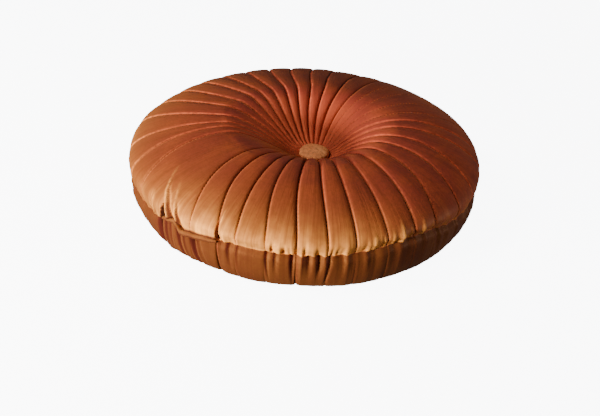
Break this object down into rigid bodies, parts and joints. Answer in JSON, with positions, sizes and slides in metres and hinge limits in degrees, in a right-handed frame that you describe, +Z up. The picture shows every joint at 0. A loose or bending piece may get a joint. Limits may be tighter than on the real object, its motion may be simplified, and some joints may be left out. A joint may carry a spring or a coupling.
{
  "type": "pumpkin cushion",
  "caption": "Round filled velvet cushion with radial stitched pleats drawn in under a covered button, lying on its flat back.",
  "frame": {"origin": "centre of the cushion's outline, on the plane its back rests on", "axes": "+Z up, out of the pleated face; -Y towards the front, where the zip placket is left of the middle; +X to the right seen from the front"},
  "size_m": [0.3496, 0.3486, 0.0798],
  "materials": {
    "cover_velvet": "short velvet pile with a soft golden sheen",
    "button_velvet": "velvet gathered over a button mould",
    "placket_velvet": "folded velvet edge"
  },
  "bodies": {
    "root": {"cushion": "cover_velvet", "button_top": "button_velvet", "button_under": "button_velvet", "placket_lip": "placket_velvet"}
  },
  "joints": []
}
